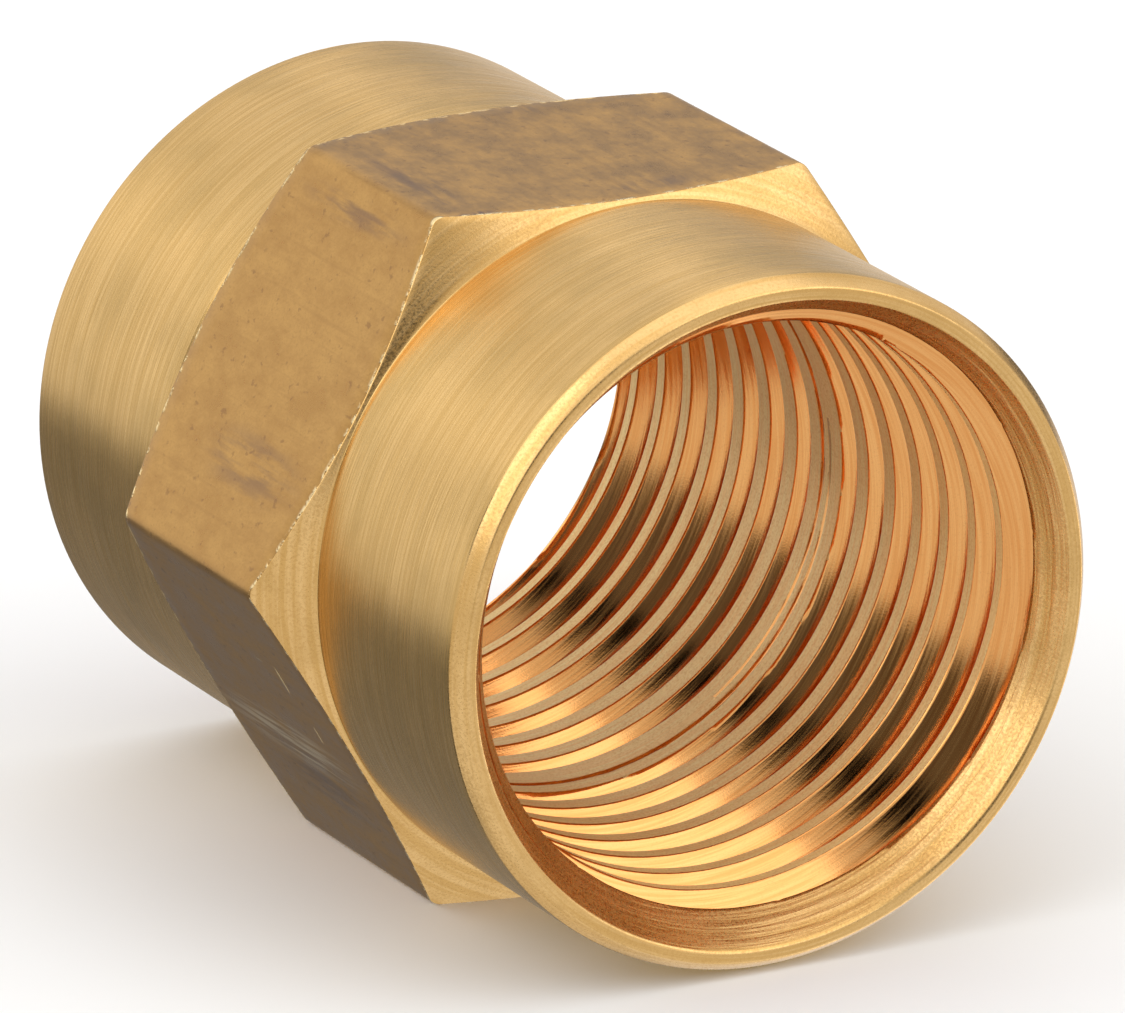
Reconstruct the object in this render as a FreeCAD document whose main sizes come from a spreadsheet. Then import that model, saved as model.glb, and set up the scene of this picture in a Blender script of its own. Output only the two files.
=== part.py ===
import FreeCAD, Part
import os
import Sketcher

# Female-by-female hex pipe coupling, turned from one piece of brass hexagon bar.
# Each body is drawn about its own Z axis, with the mid-plane of the coupling at Z = 0.
# Its Placement then lays the thread axis along Y, with two hex flats level.

DOCUMENT_NAME = "pipe_coupling"
NODE = "coupling_body"

# Driving dimensions, in millimetres and degrees.
SIZES = (
    ("across_flats", 23.8125, "hexagon bar, 15/16 inch across flats"),
    ("corner_radius", 0.5, "rounded corners of the drawn bar"),
    ("hex_length", 11.2, "length left hexagonal"),
    ("cone_angle", 30.0, "slope of the turned cones at both ends of the hexagon"),
    ("body_diameter", 23.6, "turned ends"),
    ("body_length", 30.5, "overall length"),
    ("rim_chamfer_radial", 0.36, "outer chamfer of each end, across"),
    ("rim_chamfer_axial", 0.5, "outer chamfer of each end, along the axis"),
    ("bore_diameter", 19.6, "drilled through, leaves the flat thread crests"),
    ("mouth_diameter", 22.1, "countersink at each end face"),
    ("sink_half_angle", 33.0, "countersink, from the axis"),
    ("thread_pitch", 1.814286, "14 threads per inch"),
    ("thread_half_angle", 30.0, "60 degree thread"),
    ("thread_pitch_diameter", 20.5, "tapered half inch pipe thread, at the end face"),
    ("thread_taper", 16.0, "one in sixteen on the diameter"),
    ("thread_depth_factor", 0.4, "root beyond the pitch line, in pitches"),
    ("thread_root_flat", 0.14, "width of the flat at the root"),
    ("front_thread_start", 0.92, "innermost front groove, from the mid-plane"),
    ("rear_thread_start", 0.38, "innermost rear groove, from the mid-plane"),
    ("cutter_overrun", 0.5, "how far a cutting profile reaches past what it cuts"),
)


def make_sheet(doc):
    """The spreadsheet that every size is bound to."""
    sheet = doc.addObject("Spreadsheet::Sheet", "sizes")
    for row, (alias, value, meaning) in enumerate(SIZES, start=1):
        sheet.set(f"A{row}", alias)
        sheet.set(f"B{row}", str(value))
        sheet.set(f"C{row}", meaning)
        sheet.setAlias(f"B{row}", alias)
    doc.recompute()
    return sheet


def origin_plane(body, role):
    """The origin plane of a body that has this role, such as XZ_Plane."""
    return next(f for f in body.Origin.OriginFeatures if f.Role == role)


def add_sketch(body, name, role):
    """An empty sketch on one of the body's own origin planes."""
    sketch = body.newObject("Sketcher::SketchObject", name)
    sketch.AttachmentSupport = [(origin_plane(body, role), "")]
    sketch.MapMode = "FlatFace"
    return sketch


def add_outline(sketch, points):
    """Closed straight-sided outline. Each point is a pair of expressions of the sheet."""
    corners = [
        FreeCAD.Vector(*(float(sketch.evalExpression(text)) for text in pair), 0)
        for pair in points
    ]
    count = len(corners)
    for i in range(count):
        sketch.addGeometry(Part.LineSegment(corners[i], corners[(i + 1) % count]), False)
    for i in range(count):
        sketch.addConstraint(Sketcher.Constraint("Coincident", i, 2, (i + 1) % count, 1))
    for i, pair in enumerate(points):
        for kind, text, value in zip(("DistanceX", "DistanceY"), pair, corners[i]):
            index = sketch.addConstraint(Sketcher.Constraint(kind, -1, 1, i, 1, value))
            label = f"{kind}_{i}"
            sketch.renameConstraint(index, label)
            sketch.setExpression(f"Constraints.{label}", text)


def turned(body, kind, name, points):
    """Revolution or Groove of a radius and height outline about the body's Z axis."""
    sketch = add_sketch(body, f"{name}_profile", "XZ_Plane")
    add_outline(sketch, points)
    feature = body.newObject(f"PartDesign::{kind}", name)
    feature.Profile = sketch
    feature.ReferenceAxis = (sketch, ["V_Axis"])
    feature.Angle = 360
    body.Document.recompute()


def hexagon_bar(body):
    """The hexagon, with flats facing the sketch's Y axis and rounded corners."""
    half = "sizes.across_flats / 2"
    corner = "sizes.across_flats / sqrt(3)"
    points = (
        (corner, "0"),
        (f"{corner} / 2", half),
        (f"-{corner} / 2", half),
        (f"-{corner}", "0"),
        (f"-{corner} / 2", f"-{half}"),
        (f"{corner} / 2", f"-{half}"),
    )
    sketch = add_sketch(body, "hexagon_profile", "XY_Plane")
    add_outline(sketch, points)
    pad = body.newObject("PartDesign::Pad", "hexagon")
    pad.Profile = sketch
    pad.Midplane = True
    pad.setExpression("Length", "sizes.hex_length")
    body.Document.recompute()
    corners = [
        f"Edge{i}"
        for i, edge in enumerate(pad.Shape.Edges, start=1)
        if abs(edge.tangentAt(edge.FirstParameter).z) > 0.5
    ]
    rounding = body.newObject("PartDesign::Fillet", "bar_corners")
    rounding.Base = (pad, corners)
    rounding.setExpression("Radius", "sizes.corner_radius")
    body.Document.recompute()


def turned_ends(body):
    """The cylinder that runs from end to end, with the small outer chamfers."""
    rim = "sizes.body_diameter / 2"
    face = f"({rim} - sizes.rim_chamfer_radial)"
    end = "sizes.body_length / 2"
    shoulder = f"({end} - sizes.rim_chamfer_axial)"
    turned(body, "Revolution", "turned_cylinder", (
        ("0", f"-{end}"),
        (face, f"-{end}"),
        (rim, f"-{shoulder}"),
        (rim, shoulder),
        (face, end),
        ("0", end),
    ))


def hexagon_cones(body):
    """The cone turned on each end of the hexagon, down to the cylinder."""
    root = "sizes.body_diameter / 2"
    outside = "(sizes.across_flats / sqrt(3) + sizes.cutter_overrun)"
    edge = "sizes.hex_length / 2"
    drop = f"({outside} - {root}) * tan(sizes.cone_angle * 1 deg)"
    for name, side in (("front_cone", ""), ("rear_cone", "-")):
        turned(body, "Groove", name, (
            (root, f"{side}({edge})"),
            (outside, f"{side}({edge} - {drop})"),
            (outside, f"{side}({edge} + sizes.cutter_overrun)"),
        ))


def pipe_threads(body):
    """A right-hand tapered thread from near the mid-plane out through each mouth."""
    end = "sizes.body_length / 2"
    inside = "(sizes.bore_diameter / 2 - sizes.cutter_overrun)"
    root_half = "sizes.thread_root_flat / 2"
    for name, side, reverse in (("front_thread", "", False), ("rear_thread", "-", True)):
        start = f"sizes.{name}_start"
        root = (
            "(sizes.thread_pitch_diameter / 2 + sizes.thread_depth_factor * sizes.thread_pitch"
            f" - ({end} - {start}) / (2 * sizes.thread_taper))"
        )
        inside_half = f"({root_half} + ({root} - {inside}) * tan(sizes.thread_half_angle * 1 deg))"
        sketch = add_sketch(body, f"{name}_profile", "XZ_Plane")
        add_outline(sketch, (
            (inside, f"{side}{start} - {inside_half}"),
            (root, f"{side}{start} - {root_half}"),
            (root, f"{side}{start} + {root_half}"),
            (inside, f"{side}{start} + {inside_half}"),
        ))
        thread = body.newObject("PartDesign::SubtractiveHelix", name)
        thread.Profile = sketch
        thread.ReferenceAxis = (sketch, ["V_Axis"])
        thread.Mode = "pitch-height-angle"
        thread.Reversed = reverse
        thread.LeftHanded = False
        thread.setExpression("Pitch", "sizes.thread_pitch")
        thread.setExpression("Height", f"{end} - {start} + sizes.thread_pitch")
        thread.setExpression("Angle", "atan(1 / (2 * sizes.thread_taper))")
        body.Document.recompute()


def drilled_bore(body):
    """The straight hole through the coupling."""
    radius = "sizes.bore_diameter / 2"
    end = "(sizes.body_length / 2 + sizes.cutter_overrun)"
    turned(body, "Groove", "bore", (
        ("0", f"-{end}"),
        (radius, f"-{end}"),
        (radius, end),
        ("0", end),
    ))


def countersinks(body):
    """The wide cone at each mouth."""
    mouth = "sizes.mouth_diameter / 2"
    inside = "(sizes.bore_diameter / 2 - sizes.cutter_overrun)"
    slope = "tan(sizes.sink_half_angle * 1 deg)"
    end = "sizes.body_length / 2"
    for name, side in (("front_countersink", ""), ("rear_countersink", "-")):
        turned(body, "Groove", name, (
            (inside, f"{side}({end} - ({mouth} - {inside}) / {slope})"),
            (f"{mouth} + sizes.cutter_overrun * {slope}", f"{side}({end} + sizes.cutter_overrun)"),
            (inside, f"{side}({end} + sizes.cutter_overrun)"),
        ))


def make_coupling(doc):
    """The one-piece coupling, laid with its thread axis along Y."""
    body = doc.addObject("PartDesign::Body", NODE)
    body.Label = NODE
    hexagon_bar(body)
    turned_ends(body)
    hexagon_cones(body)
    pipe_threads(body)
    drilled_bore(body)
    countersinks(body)
    along_y = FreeCAD.Rotation(FreeCAD.Vector(1, 0, 0), 90)
    body.Placement = FreeCAD.Placement(FreeCAD.Vector(0, 0, 0), along_y)
    return body


def check(doc, parts):
    """Stop if anything in the document failed, or a part isn't one sound solid."""
    for item in doc.Objects:
        if {"Invalid", "Error"} & set(item.State):
            raise RuntimeError(f"{item.Name} failed: {item.State}")
    for part in parts:
        shape = part.Shape
        if shape.isNull() or not shape.isValid() or len(shape.Solids) != 1:
            raise RuntimeError(f"{part.Label} isn't one valid solid")
        print(part.Label, "volume", round(shape.Volume, 1), "cubic millimetres")


def main():
    doc = FreeCAD.newDocument(DOCUMENT_NAME)
    make_sheet(doc)
    parts = [make_coupling(doc)]
    doc.recompute()
    check(doc, parts)
    os.makedirs("parts", exist_ok=True)
    for part in parts:
        part.Shape.exportStep(f"parts/{part.Label}.step")


main()
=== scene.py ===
import math

import bpy
import numpy as np
from mathutils import Matrix, Vector


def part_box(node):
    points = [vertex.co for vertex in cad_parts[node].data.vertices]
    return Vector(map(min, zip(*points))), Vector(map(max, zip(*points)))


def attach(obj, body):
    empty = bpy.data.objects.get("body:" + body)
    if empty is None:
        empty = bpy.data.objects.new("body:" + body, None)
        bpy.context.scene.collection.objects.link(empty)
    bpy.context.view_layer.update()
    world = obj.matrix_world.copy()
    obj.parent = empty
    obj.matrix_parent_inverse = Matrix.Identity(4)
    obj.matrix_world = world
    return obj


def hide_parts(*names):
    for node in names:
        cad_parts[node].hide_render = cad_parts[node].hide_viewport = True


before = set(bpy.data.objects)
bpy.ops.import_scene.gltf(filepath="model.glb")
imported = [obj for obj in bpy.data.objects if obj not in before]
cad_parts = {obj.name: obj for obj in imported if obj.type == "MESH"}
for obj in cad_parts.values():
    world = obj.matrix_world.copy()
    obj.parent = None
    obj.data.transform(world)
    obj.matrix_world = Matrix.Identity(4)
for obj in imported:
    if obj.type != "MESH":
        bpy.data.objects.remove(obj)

# The looks of a one-piece brass hex pipe coupling, lying on one flat with its thread axis along Y.
# Lengths in this script are in millimetres until a mesh or a camera is made.
CAD_NODE = "coupling_body"
MM = 0.001
TAU = 2 * math.pi

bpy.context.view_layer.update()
box_low, box_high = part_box(CAD_NODE)

# ---------------------------------------------------------------- sizes, as in the CAD part
HALF_FLATS = box_high.z / MM
END = box_high.y / MM
CORNER_RADIUS = 0.505  # 0.5 in the CAD part; this keeps the corners inside its box
BODY_RADIUS = 11.8
HEX_END = 5.6
CONE_SLOPE = math.tan(math.radians(30))
RIM_RADIAL = 0.36
RIM_AXIAL = 0.5
BORE_RADIUS = 9.8
MOUTH_RADIUS = 11.05
SINK_SLOPE = math.tan(math.radians(33))
PITCH = 25.4 / 14
FLANK_SLOPE = math.tan(math.radians(30))
PITCH_RADIUS = 20.5 / 2
TAPER = 1 / 32
ROOT_BEYOND_PITCH_LINE = 0.4 * PITCH
ROOT_HALF = 0.07

# Shallow tool mark round the cylinder, where it meets the cone, and its places along Y.
MARK_DEPTH = 0.035
MARK_BOTTOM = (0.02, 0.17)
MARK_EDGE = 0.26

# Where each thread's grooves lie along its helix, in turns, and how the tap's lead fades them out.
NEAR_PHASE = 0.24
FAR_PHASE = 0.96
NEAR_LAST_TURN = -0.6
FAR_FIRST_TURN = -1.78
LEAD_TURNS = 1.0
LEAD_POWER = 1.5

# How far in from each face the countersink stays clear of the thread.
CLEAN_MOUTH = 0.8

# Stretches of the bore, along Y, where the mesh has plain rings rather than helical rows.
MOUTH_BAND = 13.2
MOUTH_SPACING = 0.085
SEAM_BAND = (-2.55, 0.5)
SEAM_SPACING = 0.065


# ---------------------------------------------------------------- the turned and tapped surface
def hexagon_radius(theta):
    """Distance from the axis to the hexagon, with its rounded corners."""
    phi = np.abs((theta + math.pi / 6) % (math.pi / 3) - math.pi / 6)
    flat = HALF_FLATS / np.cos(phi)
    centre = (HALF_FLATS - CORNER_RADIUS) / math.cos(math.pi / 6)
    off = math.pi / 6 - phi
    inside = np.maximum(CORNER_RADIUS**2 - (centre * np.sin(off)) ** 2, 0)
    rounded = centre * np.cos(off) + np.sqrt(inside)
    tangent = math.atan((HALF_FLATS - CORNER_RADIUS) * math.tan(math.pi / 6) / HALF_FLATS)
    return np.where(phi > tangent, rounded, flat)


def groove(y, theta, phase, lead):
    """Radius of a helical groove near y, and its part: 1 root, 2 near flank, 3 far flank."""
    turns = y / PITCH - phase
    n = np.round(turns - theta / TAU)
    centre = PITCH * (n + theta / TAU + phase)
    depth = lead(n + theta / TAU)
    full = PITCH_RADIUS + ROOT_BEYOND_PITCH_LINE - TAPER * (END - np.abs(centre))
    root = BORE_RADIUS + (full - BORE_RADIUS) * depth
    off = np.abs(y - centre) - ROOT_HALF
    radius = np.where(depth > 0, root - np.maximum(off, 0) / FLANK_SLOPE, 0)
    part = np.where(off <= 0, 1, np.where(y < centre, 2, 3))
    return radius, part


def near_lead(turn):
    """Share of the full depth that the near tap's lead leaves at this turn."""
    return ((NEAR_LAST_TURN - turn) / LEAD_TURNS).clip(0, 1) ** LEAD_POWER


def far_lead(turn):
    """The same for the far tap."""
    return ((turn - FAR_FIRST_TURN) / LEAD_TURNS).clip(0, 1) ** LEAD_POWER


def bore_surface(y, theta):
    """Radius inside the coupling, and a code for the surface there.

    Codes are 0 crest, 1-3 near thread, 4-6 far thread and 7 countersink.
    """
    y, theta = np.broadcast_arrays(y, theta)
    near, near_part = groove(y, theta, NEAR_PHASE, near_lead)
    far, far_part = groove(y, theta, FAR_PHASE, far_lead)
    inward = END - np.abs(y)
    sink = MOUTH_RADIUS - inward * SINK_SLOPE
    entry = sink + np.maximum(inward - CLEAN_MOUTH, -0.01)
    near = np.minimum(near, entry)
    far = np.minimum(far, entry)
    bore = np.full_like(near, BORE_RADIUS)
    stack = np.stack([bore, near, far, sink])
    pick = stack.argmax(axis=0)
    codes = [np.zeros_like(near_part), near_part, far_part + 3, np.full_like(near_part, 7)]
    code = np.choose(pick, codes)
    return stack.max(axis=0), code


# ---------------------------------------------------------------- columns and rows of the mesh
EVEN_COLUMNS = 216
# Helical rows this close to a plain ring are moved on to it.
SNAP = 0.02
# Further columns beside each corner of the hexagon, in degrees from it.
CORNER_COLUMNS = (-1.05, -0.7, -0.35, 0.35, 0.7, 1.05)


def columns():
    """Angles of the mesh's columns about the thread axis, closer at the rounded corners."""
    even = np.arange(EVEN_COLUMNS) * (360 / EVEN_COLUMNS)
    corners = [30 + 60 * k + step for k in range(6) for step in CORNER_COLUMNS]
    return np.radians(np.sort(np.concatenate([even, corners])))


THETA = columns()
COUNT = len(THETA)


def ring(radius, y):
    """One row of the mesh: radius and y in every column."""
    return np.stack([np.full(COUNT, float(radius)), np.full(COUNT, float(y))])


def section(corners, rounding, counts):
    """Rows through these corner points.

    Each corner is rounded by its own amount and each stretch is split into its own count.
    """
    rows = []
    start = corners[0]
    last = len(corners) - 1
    for k in range(1, last + 1):
        stop = corners[k]
        if k < last:
            before = corners[k] - corners[k - 1]
            after = corners[k + 1] - corners[k]
            length_before = np.hypot(*before)
            length_after = np.hypot(*after)
            cut = np.minimum(rounding[k], 0.4 * np.minimum(length_before, length_after))
            stop = corners[k] - before / length_before * cut
            leave = corners[k] + after / length_after * cut
        for step in range(counts[k - 1]):
            rows.append(start + (stop - start) * step / counts[k - 1])
        if k < last:
            rows.append(stop)
            rows.append(0.25 * stop + 0.5 * corners[k] + 0.25 * leave)
            start = leave
    rows.append(corners[last])
    return rows


def hexagon_edge():
    """Distance of the hexagon's edge from the middle, along Y, in every column."""
    return HEX_END - (hexagon_radius(THETA) - BODY_RADIUS) * CONE_SLOPE


def outer_rows():
    """Rows from the front mouth, over the outside, to the rear mouth."""
    face = BODY_RADIUS - RIM_RADIAL
    undercut = BODY_RADIUS - MARK_DEPTH
    front = [
        ring(MOUTH_RADIUS, -END),
        ring(face, -END),
        ring(BODY_RADIUS, -END + RIM_AXIAL),
        ring(BODY_RADIUS, -HEX_END - MARK_EDGE),
        ring(undercut, -HEX_END - MARK_BOTTOM[1]),
        ring(undercut, -HEX_END - MARK_BOTTOM[0]),
        np.stack([hexagon_radius(THETA), -hexagon_edge()]),
    ]
    back = [np.stack([p[0], -p[1]]) for p in reversed(front)]
    rounding = [0, 0.05, 0.05, 0.03, 0.03, 0.02, 0.03]
    rounding = rounding + rounding[::-1]
    counts = [3, 2, 14, 1, 1, 6]
    counts = counts + [16] + counts[::-1]
    return section(front + back, rounding, counts)


def ring_rows(start, stop, spacing):
    """Bore rings from start to stop, with rings moved on to the nearest edges of the threads."""
    finer = 12
    n = int(round((stop - start) / spacing))
    rings = np.linspace(start, stop, n + 1)
    table = np.repeat(rings[:, None], COUNT, axis=1)
    fine = np.linspace(start, stop, n * finer + 1)
    _, code = bore_surface(fine[:, None], THETA[None, :])
    for i in range(COUNT):
        changes = np.nonzero(np.diff(code[:, i]))[0]
        for c in changes:
            edge = 0.5 * (fine[c] + fine[c + 1])
            j = int(np.clip(np.abs(rings - edge).argmin(), 1, n - 1))
            table[j, i] = edge
    return table


def helix_rows(start, stop, phase):
    """Rows that follow a thread between two rings, over one extra column that closes the turn."""
    theta = np.append(THETA, TAU)
    flank_steps = (0.45, 0.7, 0.93, 1)
    crest_steps = (0.06, 0.5, 0.94)
    per_turn = 2 * len(flank_steps) + 3 + len(crest_steps)
    first = math.floor(start / PITCH - phase) - 1
    last = math.ceil(stop / PITCH - phase) + 1

    def half_width(centre):
        depth = PITCH_RADIUS + ROOT_BEYOND_PITCH_LINE - TAPER * (END - np.abs(centre)) - BORE_RADIUS
        return ROOT_HALF + depth * FLANK_SLOPE

    rows = []
    for n in range(first - 1, last + 1):
        centre = PITCH * (n + theta / TAU + phase)
        width = half_width(centre)
        rows += [centre - width * step for step in reversed(flank_steps)]
        rows += [centre - ROOT_HALF, centre, centre + ROOT_HALF]
        rows += [centre + width * step for step in flank_steps]
        crest_from = centre + width
        crest_to = centre + PITCH - half_width(centre + PITCH)
        rows += [crest_from + (crest_to - crest_from) * step for step in crest_steps]
    table = np.array(rows).clip(start, stop)
    table[np.abs(table - start) < SNAP] = start
    table[np.abs(table - stop) < SNAP] = stop
    return table, per_turn


class Builder:
    """Collects quads as corner positions, then joins equal corners into one closed mesh."""

    def __init__(self):
        self.quads = []
        self.kinds = []

    def add_rings(self, radius, y, kinds):
        """A grid of closed rings, one row to a ring."""
        points = np.stack([np.broadcast_to(THETA, y.shape), radius, y], axis=-1)
        right = np.roll(points, -1, axis=1)
        quad = np.stack([points[:-1], points[1:], right[1:], right[:-1]], axis=2)
        self.quads.append(quad.reshape(-1, 4, 3))
        self.kinds.append(np.broadcast_to(kinds, quad.shape[:2]).reshape(-1))

    def add_helix(self, radius, y, kinds, per_turn):
        """A helical grid: its extra last column is the first one, a turn's rows further on."""
        points = np.stack([np.broadcast_to(np.append(THETA, 0.0), y.shape), radius, y], axis=-1)
        points[:-per_turn, -1] = points[per_turn:, 0]
        points[-per_turn:, -1] = points[-1, 0]
        left, right = points[:, :-1], points[:, 1:]
        quad = np.stack([left[1:], left[:-1], right[:-1], right[1:]], axis=2)
        self.quads.append(quad.reshape(-1, 4, 3))
        self.kinds.append(kinds.reshape(-1))

    def mesh_data(self):
        """Vertices, faces with their corners in outward order, and each face's kind."""
        quads = np.concatenate(self.quads)
        kinds = np.concatenate(self.kinds)
        flat = quads.reshape(-1, 3)
        _, first, inverse = np.unique(
            np.round(flat, 7), axis=0, return_index=True, return_inverse=True
        )
        vertices = flat[first]
        faces, face_kinds = [], []
        for corners, kind in zip(inverse.reshape(-1, 4)[:, ::-1].tolist(), kinds.tolist()):
            kept = [c for i, c in enumerate(corners) if c != corners[i - 1]]
            if len(kept) > 2 and len(set(kept)) == len(kept):
                faces.append(kept)
                face_kinds.append(kind)
        return vertices, faces, face_kinds


# Surface kinds, in the order of the material slots.
TURNED, FACE, CONE, SKIN, SINK, FLANK, CREST = range(7)


def mean_of_quads(table):
    """The mean of each quad's four corners, with the last column joined to the first."""
    joined = np.roll(table, -1, axis=1)
    return 0.25 * (table[:-1] + table[1:] + joined[:-1] + joined[1:])


def build_mesh():
    """The outside, then the bore from the front mouth to the rear one."""
    builder = Builder()
    rows = outer_rows()
    radius = np.array([r[0] for r in rows])
    y = np.array([r[1] for r in rows])
    out = np.abs(0.5 * (y[:-1] + y[1:]))
    kinds = np.full(out.shape, TURNED)
    kinds[(out < HEX_END) | (out > END - RIM_AXIAL)] = CONE
    kinds[out < hexagon_edge()] = SKIN
    kinds[out > END - 0.02] = FACE
    builder.add_rings(radius, y, kinds)

    def rings(start, stop, spacing):
        table = ring_rows(start, stop, spacing)
        r, _ = bore_surface(table, THETA[None, :])
        mid = mean_of_quads(table)
        mid_theta = THETA + 0.5 * ((np.roll(THETA, -1) - THETA) % TAU)
        _, code = bore_surface(mid, mid_theta[None, :])
        builder.add_rings(r[::-1], table[::-1], code_kinds(code)[::-1])

    def helix(start, stop, phase):
        table, per_turn = helix_rows(start, stop, phase)
        theta = np.append(THETA, TAU)
        r, _ = bore_surface(table, theta[None, :])
        mid = 0.25 * (table[:-1, :-1] + table[1:, :-1] + table[:-1, 1:] + table[1:, 1:])
        mid_theta = 0.5 * (theta[:-1] + theta[1:])
        _, code = bore_surface(mid, mid_theta[None, :])
        builder.add_helix(r, table, code_kinds(code), per_turn)

    rings(-END, -MOUTH_BAND, MOUTH_SPACING)
    helix(-MOUTH_BAND, SEAM_BAND[0], NEAR_PHASE)
    rings(*SEAM_BAND, SEAM_SPACING)
    helix(SEAM_BAND[1], MOUTH_BAND, FAR_PHASE)
    rings(MOUTH_BAND, END, MOUTH_SPACING)
    return builder.mesh_data()


def code_kinds(code):
    """Surface kinds for the codes of bore_surface."""
    return np.where(code == 0, CREST, np.where(code == 7, SINK, FLANK))


def make_piece():
    """The coupling as one closed mesh."""
    vertices, faces, kinds = build_mesh()
    theta, radius, y = vertices.T
    xyz = np.stack([radius * np.sin(theta), y, radius * np.cos(theta)], axis=-1) * MM
    mesh = bpy.data.meshes.new("coupling")
    mesh.from_pydata(xyz.tolist(), [], faces)
    mesh.polygons.foreach_set("material_index", kinds)
    mesh.shade_smooth()
    mesh.update()
    piece = bpy.data.objects.new("brass_coupling", mesh)
    bpy.context.scene.collection.objects.link(piece)
    return piece


# ---------------------------------------------------------------- materials
# The brushed highlights stretch across the turning lines.
QUARTER_TURN = 0.25

# Dark stains of the bar's skin: centre, half widths, strength.
STAINS = (
    ((-5.6, -0.5, 11.9), (0.9, 4.6, 1.0), 0.7),
    ((1.3, -4.4, 11.9), (2.4, 0.9, 1.0), 0.55),
    ((1.5, 4.9, 11.9), (1.4, 0.7, 1.0), 0.45),
    ((-7.4, 0.0, 10.9), (0.5, 4.5, 0.8), 0.6),
    ((-11.9, -1.2, 3.2), (1.0, 4.0, 1.9), 0.55),
    ((-9.2, -0.5, -8.6), (1.8, 5.0, 2.6), 0.5),
    ((-5.5, -4.7, 11.9), (1.0, 0.35, 0.7), 1.0),
)

# A painted sheen, a brighter streaked band low on the lower left flat that stands in for a
# reflection of a bright thing: centre and half widths.
PAINTED_SHEEN_BAND = ((-9.7, 0.4, -7.3), (1.0, 6.0, 1.5))

# Bare bright marks on the bar's skin: centre and half widths.
SCRATCHES = (
    ((-6.82, -4.5, 11.81), (0.3, 0.22, 0.3)),
    ((-11.55, -2.6, -3.9), (0.6, 0.09, 0.8)),
    ((-11.65, -1.4, -3.4), (0.14, 0.75, 0.14)),
    ((-10.4, -3.0, -5.9), (0.3, 0.06, 0.6)),
)


class NodeTree:
    """The nodes of a material or a world."""

    def __init__(self, owner):
        owner.use_nodes = True
        self.nodes = owner.node_tree.nodes
        self.links = owner.node_tree.links

    def math(self, operation, *values):
        """One sum of sockets or numbers."""
        node = self.nodes.new("ShaderNodeMath")
        node.operation = operation
        for socket, value in zip(node.inputs, values):
            if isinstance(value, bpy.types.NodeSocket):
                self.links.new(value, socket)
            else:
                socket.default_value = value
        return node.outputs[0]


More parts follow.
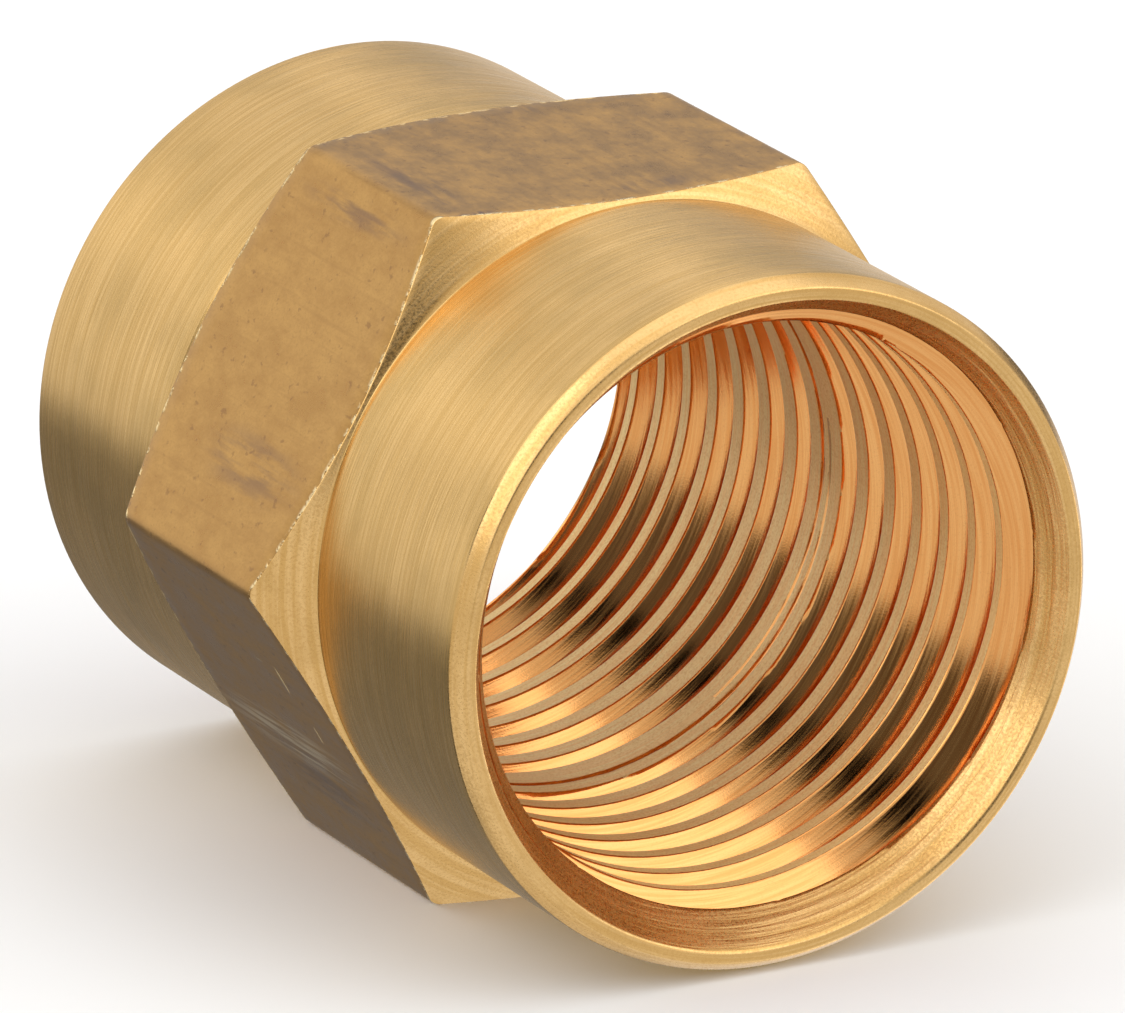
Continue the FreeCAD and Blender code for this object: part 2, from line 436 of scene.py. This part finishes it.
class Finish(NodeTree):
    """A brass material whose detail is laid out in millimetres of the object's own frame."""

    def __init__(self, name, anisotropic=0.0, metallic=1.0):
        self.material = bpy.data.materials.new(name)
        super().__init__(self.material)
        self.shader = self.nodes["Principled BSDF"]
        self.shader.inputs["Metallic"].default_value = metallic
        if anisotropic:
            self.shader.inputs["Anisotropic"].default_value = anisotropic
            self.shader.inputs["Anisotropic Rotation"].default_value = QUARTER_TURN
            tangent = self.nodes.new("ShaderNodeTangent")
            tangent.direction_type = "RADIAL"
            tangent.axis = "Y"
            self.links.new(tangent.outputs[0], self.shader.inputs["Tangent"])
        coordinates = self.nodes.new("ShaderNodeTexCoord")
        scale = self.nodes.new("ShaderNodeVectorMath")
        scale.operation = "SCALE"
        scale.inputs["Scale"].default_value = 1 / MM
        self.links.new(coordinates.outputs["Object"], scale.inputs[0])
        self.place = scale.outputs[0]

    def round_axis(self):
        """Coordinates with the distance from the thread axis in place of Y, for end faces."""
        split = self.nodes.new("ShaderNodeSeparateXYZ")
        self.links.new(self.place, split.inputs[0])
        square_x = self.math("MULTIPLY", split.outputs["X"], split.outputs["X"])
        square_z = self.math("MULTIPLY", split.outputs["Z"], split.outputs["Z"])
        join = self.nodes.new("ShaderNodeCombineXYZ")
        self.links.new(split.outputs["X"], join.inputs["X"])
        self.links.new(self.math("SQRT", self.math("ADD", square_x, square_z)), join.inputs["Y"])
        self.links.new(split.outputs["Z"], join.inputs["Z"])
        return join.outputs[0]

    def noise(self, scale, detail=3.0, where=None, offset=0.0, roughness=0.55):
        """Noise between 0 and 1, with this many cells per millimetre along X, Y and Z."""
        stretch = self.nodes.new("ShaderNodeMapping")
        stretch.inputs["Scale"].default_value = scale
        stretch.inputs["Location"].default_value = (offset, offset, offset)
        self.links.new(where or self.place, stretch.inputs["Vector"])
        node = self.nodes.new("ShaderNodeTexNoise")
        node.inputs["Scale"].default_value = 1.0
        node.inputs["Detail"].default_value = detail
        node.inputs["Roughness"].default_value = roughness
        self.links.new(stretch.outputs[0], node.inputs["Vector"])
        return node.outputs["Fac"]

    def spread(self, value, low, high, to_low=0.0, to_high=1.0):
        """Maps low..high on to to_low..to_high, smoothly and clamped."""
        node = self.nodes.new("ShaderNodeMapRange")
        node.interpolation_type = "SMOOTHSTEP"
        for name, number in (
            ("From Min", low), ("From Max", high), ("To Min", to_low), ("To Max", to_high),
        ):
            node.inputs[name].default_value = number
        self.links.new(value, node.inputs["Value"])
        return node.outputs[0]

    def near(self, centre, reach, soft=0.5):
        """1 at this place, falling to 0 at an ellipsoid with these half widths."""
        shift = self.nodes.new("ShaderNodeVectorMath")
        shift.operation = "SUBTRACT"
        shift.inputs[1].default_value = centre
        self.links.new(self.place, shift.inputs[0])
        ratio = self.nodes.new("ShaderNodeVectorMath")
        ratio.operation = "DIVIDE"
        ratio.inputs[1].default_value = reach
        self.links.new(shift.outputs[0], ratio.inputs[0])
        size = self.nodes.new("ShaderNodeVectorMath")
        size.operation = "LENGTH"
        self.links.new(ratio.outputs[0], size.inputs[0])
        return self.spread(size.outputs["Value"], soft, 1.0, 1.0, 0.0)

    def blend(self, amount, first, second):
        """A mix of two colours; inputs 6 and 7 and output 2 are the node's colour sockets."""
        node = self.nodes.new("ShaderNodeMix")
        node.data_type = "RGBA"
        self.links.new(amount, node.inputs["Factor"])
        for socket, value in ((node.inputs[6], first), (node.inputs[7], second)):
            if isinstance(value, bpy.types.NodeSocket):
                self.links.new(value, socket)
            else:
                socket.default_value = (*value, 1)
        return node.outputs[2]

    def burr(self, grain):
        """A broken bright line where the bar's skin meets the turned cones."""
        split = self.nodes.new("ShaderNodeSeparateXYZ")
        self.links.new(self.round_axis(), split.inputs[0])
        above = self.math("SUBTRACT", split.outputs["Y"], BODY_RADIUS)
        fall = self.math("MULTIPLY", above, CONE_SLOPE)
        separate = self.nodes.new("ShaderNodeSeparateXYZ")
        self.links.new(self.place, separate.inputs[0])
        along = self.math("ABSOLUTE", separate.outputs["Y"])
        inward = self.math("SUBTRACT", HEX_END, self.math("ADD", along, fall))
        line = self.spread(inward, 0.05, 0.2, 1.0, 0.0)
        beads = self.spread(self.noise((2.6, 2.6, 2.6), 3.0, offset=6.0), 0.47, 0.58)
        beaded = self.math("MULTIPLY", line, beads)
        return self.math("MULTIPLY", beaded, self.spread(grain, 0.3, 0.5))

    def colour(self, value):
        self.links.new(value, self.shader.inputs["Base Color"])

    def rough(self, value):
        self.links.new(value, self.shader.inputs["Roughness"])

    def bump(self, *layers):
        """Raises the surface by these heights, each given with its depth in millimetres."""
        normal = None
        for height, depth in layers:
            node = self.nodes.new("ShaderNodeBump")
            node.inputs["Strength"].default_value = 1.0
            node.inputs["Distance"].default_value = depth * MM
            self.links.new(height, node.inputs["Height"])
            if normal:
                self.links.new(normal, node.inputs["Normal"])
            normal = node.outputs[0]
        self.links.new(normal, self.shader.inputs["Normal"])


def turned_finish():
    """Fine turning lines round the body, under a thin uneven tarnish."""
    finish = Finish("turned_brass", anisotropic=0.75)
    lines = finish.noise((0.16, 13.0, 0.16), 4.0)
    fine = finish.noise((0.5, 34.0, 0.5), 2.0, offset=7.0)
    tarnish = finish.noise((0.22, 0.3, 0.22), 4.0, offset=3.0)
    grain = finish.noise((14.0, 14.0, 14.0), 2.0)
    lit = finish.blend(finish.spread(lines, 0.35, 0.65), (0.68, 0.42, 0.14), (0.83, 0.54, 0.215))
    aged = finish.blend(finish.spread(tarnish, 0.42, 0.68, 0.0, 0.5), lit, (0.56, 0.36, 0.125))
    grained = finish.spread(grain, 0.45, 0.8, 0.0, 0.35)
    finish.colour(finish.blend(grained, aged, (0.58, 0.35, 0.11)))
    finish.rough(finish.spread(fine, 0.3, 0.7, 0.20, 0.36))
    finish.bump((lines, 0.006), (fine, 0.003), (grain, 0.001))
    return finish.material


def faced_finish(name, coarse, smooth, depth, anisotropic):
    """Turning lines that run round a face or a cone, with a sandy grain."""
    finish = Finish(name, anisotropic)
    around = finish.round_axis()
    lines = finish.noise((0.14, coarse, 0.14), 3.0, where=around)
    grain = finish.noise((11.0, 11.0, 11.0), 3.0, offset=2.0)
    tarnish = finish.noise((0.35, 0.35, 0.35), 3.0, offset=5.0)
    lit = finish.blend(finish.spread(lines, 0.35, 0.65), (0.72, 0.43, 0.145), (0.86, 0.55, 0.225))
    aged = finish.blend(finish.spread(tarnish, 0.45, 0.7, 0.0, 0.45), lit, (0.62, 0.37, 0.125))
    grained = finish.spread(grain, 0.45, 0.75, 0.0, 0.45)
    finish.colour(finish.blend(grained, aged, (0.62, 0.35, 0.11)))
    finish.rough(finish.spread(grain, 0.3, 0.7, smooth, smooth + 0.14))
    finish.bump((lines, depth), (grain, 0.003))
    return finish.material


def skin_finish():
    """Drawn bar: dull, mottled, with drawing lines and dark stains along the bar, and a painted
    sheen low on the lower left flat.
    """
    finish = Finish("bar_skin_brass")
    lines = finish.noise((4.0, 0.14, 4.0), 4.0)
    mottle = finish.noise((0.9, 0.55, 0.9), 6.0, offset=4.0, roughness=0.72)
    specks = finish.noise((3.2, 2.4, 3.2), 3.0, offset=9.0)
    grain = finish.noise((12.0, 9.0, 12.0), 2.0)
    base = finish.blend(finish.spread(mottle, 0.3, 0.7), (0.45, 0.24, 0.07), (0.60, 0.345, 0.11))
    drawn = finish.blend(finish.spread(lines, 0.5, 0.8, 0.0, 0.5), base, (0.42, 0.225, 0.07))
    grained = finish.blend(finish.spread(grain, 0.45, 0.8, 0.0, 0.4), drawn, (0.40, 0.215, 0.065))
    dots = finish.spread(specks, 0.62, 0.72, 0.0, 0.5)
    speckled = finish.blend(dots, grained, (0.25, 0.12, 0.05))
    stain = None
    streaks = finish.spread(finish.noise((2.6, 0.35, 2.6), 4.0, offset=1.5), 0.38, 0.62)
    for centre, reach, depth in STAINS:
        mask = finish.math("MULTIPLY", finish.near(centre, reach, 0.2), depth)
        stain = mask if stain is None else finish.math("MAXIMUM", stain, mask)
    stains_and_sheen = finish.blend(finish.math("MULTIPLY", stain, streaks), speckled, (0.20, 0.12, 0.085))
    # Painted sheen: a lighter streaked band low on the lower left flat, standing in for a
    # reflection of a bright thing.
    sheen_noise = finish.noise((5.0, 0.25, 5.0), 4.0, offset=12.0)
    sheen_streaks = finish.spread(sheen_noise, 0.42, 0.6)
    painted_sheen = finish.math("MULTIPLY", finish.near(*PAINTED_SHEEN_BAND, 0.3), sheen_streaks)
    stains_and_sheen = finish.blend(painted_sheen, stains_and_sheen, (0.86, 0.66, 0.40))
    bare = finish.burr(grain)
    for centre, reach in SCRATCHES:
        bare = finish.math("MAXIMUM", bare, finish.near(centre, reach, 0.6))
    finish.colour(finish.blend(bare, stains_and_sheen, (0.98, 0.76, 0.40)))
    finish.rough(finish.spread(mottle, 0.3, 0.7, 0.26, 0.42))
    finish.bump((lines, 0.006), (specks, 0.004), (grain, 0.003), (bare, 0.03))
    return finish.material


def flank_finish():
    """Thread flanks as the tap left them: bright, with fine lines along the helix. Their base
    colours carry a painted tint, redder than brass, that stands in for the reddening of light
    bounced between the thread walls.
    """
    finish = Finish("thread_flank_brass")
    lines = finish.noise((0.25, 22.0, 0.25), 3.0)
    grain = finish.noise((16.0, 16.0, 16.0), 2.0)
    # Painted tint: these redder base colours stand in for light reddened by bouncing inside the
    # thread.
    lit = finish.blend(finish.spread(lines, 0.3, 0.7), (0.78, 0.34, 0.10), (0.90, 0.46, 0.16))
    finish.colour(finish.blend(finish.spread(grain, 0.5, 0.8, 0.0, 0.35), lit, (0.64, 0.27, 0.08)))
    finish.rough(finish.spread(lines, 0.3, 0.7, 0.08, 0.17))
    finish.bump((lines, 0.003), (grain, 0.0012))
    return finish.material


def crest_finish():
    """Thread crests: the drilled bore, matt and sandy."""
    finish = Finish("thread_crest_brass", metallic=0.35)
    grain = finish.noise((13.0, 13.0, 13.0), 3.0)
    lines = finish.noise((0.3, 9.0, 0.3), 3.0)
    lit = finish.blend(finish.spread(lines, 0.35, 0.65), (0.98, 0.64, 0.25), (1.0, 0.76, 0.34))
    finish.colour(finish.blend(finish.spread(grain, 0.42, 0.72, 0.0, 0.6), lit, (0.78, 0.46, 0.16)))
    finish.rough(finish.spread(grain, 0.3, 0.7, 0.34, 0.5))
    finish.bump((grain, 0.003), (lines, 0.003))
    return finish.material


piece = make_piece()
for material in (
    turned_finish(),
    faced_finish("end_face_brass", 9.0, 0.22, 0.01, 0.4),
    faced_finish("cone_brass", 6.0, 0.2, 0.006, 0.45),
    skin_finish(),
    faced_finish("countersink_brass", 5.0, 0.22, 0.04, 0.6),
    flank_finish(),
    crest_finish(),
):
    piece.data.materials.append(material)
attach(piece, "root")
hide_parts(CAD_NODE)


# ---------------------------------------------------------------- floor, light and camera
def make_floor():
    """A plain pale floor under the coupling. Reflections see the studio in its place."""
    half = 3.0
    z = box_low.z
    corners = [(-half, -half, z), (half, -half, z), (half, half, z), (-half, half, z)]
    mesh = bpy.data.meshes.new("floor")
    mesh.from_pydata(corners, [], [(0, 1, 2, 3)])
    floor = bpy.data.objects.new("floor", mesh)
    bpy.context.scene.collection.objects.link(floor)
    material = bpy.data.materials.new("pale_floor")
    material.use_nodes = True
    shader = material.node_tree.nodes["Principled BSDF"]
    shader.inputs["Base Color"].default_value = (0.9, 0.9, 0.9, 1)
    shader.inputs["Roughness"].default_value = 0.9
    mesh.materials.append(material)
    floor.visible_glossy = False


# The studio's soft light, by direction: centre, half width and soft edge of the compass
# angle (0 is +Y, 90 is +X), the same for the height angle, and how much brighter it is there.
STUDIO_LIGHT = 0.86
STUDIO_PATCHES = (
    ("camera side flag", (184, 27, 6), (14, 15, 6), -0.74),
    ("camera side dark spot", (191, 6, 4), (26, 5, 4), -0.25),
    ("front softbox", (142, 32, 2), (34, 23, 5), 0.95),
    ("left key", (256, 22, 7), (40, 24, 6), 1.15),
    ("left flag, high", (292, 18, 8), (18, 9, 6), -0.7),
    ("left flag, low", (298, 14, 9), (-34, 24, 8), -0.84),
    ("far flag", (350, 38, 12), (-36, 23, 7), -0.6),
    ("far wash", (330, 18, 12), (14, 15, 10), 0.2),
    ("far right flag", (30, 16, 10), (15, 11, 8), -0.38),
    ("right gap", (62, 12, 6), (0, 8, 5), -0.7),
    ("back left softbox", (300, 15, 6), (43, 12, 6), 1.0),
    ("back right softbox", (30, 14, 8), (43, 12, 6), 0.55),
    ("right reflector", (90, 13, 8), (-20, 13, 6), 1.4),
    ("right floor", (90, 42, 12), (-46, 13, 6), 0.6),
    ("ceiling", (0, 180, 1), (90, 32, 8), 0.5),
)


class StudioWorld(NodeTree):
    """A world whose brightness depends on direction only."""

    def __init__(self):
        world = bpy.data.worlds.new("studio")
        bpy.context.scene.world = world
        super().__init__(world)
        direction = self.nodes.new("ShaderNodeTexCoord").outputs["Generated"]
        split = self.nodes.new("ShaderNodeSeparateXYZ")
        self.links.new(direction, split.inputs[0])
        around = self.math("ARCTAN2", split.outputs["X"], split.outputs["Y"])
        self.compass = self.math("DEGREES", around)
        self.height = self.math("DEGREES", self.math("ARCSINE", split.outputs["Z"]))
        total = STUDIO_LIGHT
        for _, compass, height, change in STUDIO_PATCHES:
            turned = self.math("SUBTRACT", self.compass, compass[0])
            turned = self.within(self.math("WRAP", turned, 180.0, -180.0), *compass[1:])
            raised = self.within(self.math("SUBTRACT", self.height, height[0]), *height[1:])
            inside = self.math("MULTIPLY", turned, raised)
            total = self.math("ADD", total, self.math("MULTIPLY", inside, change))
        background = self.nodes["Background"]
        background.inputs["Color"].default_value = (1, 1, 1, 1)
        self.links.new(self.math("MAXIMUM", total, 0.0), background.inputs["Strength"])

    def within(self, angle, half, soft):
        """1 inside half of the centre, falling to 0 over the soft edge."""
        node = self.nodes.new("ShaderNodeMapRange")
        node.interpolation_type = "SMOOTHSTEP"
        node.inputs["From Min"].default_value = half - soft / 2
        node.inputs["From Max"].default_value = half + soft / 2
        node.inputs["To Min"].default_value = 1
        node.inputs["To Max"].default_value = 0
        self.links.new(self.math("ABSOLUTE", angle), node.inputs["Value"])
        return node.outputs[0]


def make_camera():
    """The viewpoint, as a position in millimetres and three directions."""
    position = Vector((-203.592, -374.847, 142.484)) * MM
    right = Vector((0.879378, -0.476083, 0.006223))
    down = Vector((-0.146016, -0.282102, -0.948208))
    forward = Vector((0.453181, 0.832925, -0.317590))
    data = bpy.data.cameras.new("camera")
    data.sensor_width = 36.0
    data.lens = 431.9
    data.clip_start = 0.01
    data.clip_end = 20
    camera = bpy.data.objects.new("camera", data)
    turn = Matrix((right, -down, -forward)).transposed()
    camera.matrix_world = Matrix.Translation(position) @ turn.to_4x4()
    bpy.context.scene.collection.objects.link(camera)
    bpy.context.scene.camera = camera


make_floor()
StudioWorld()
make_camera()
bpy.context.scene.view_settings.view_transform = "Standard"
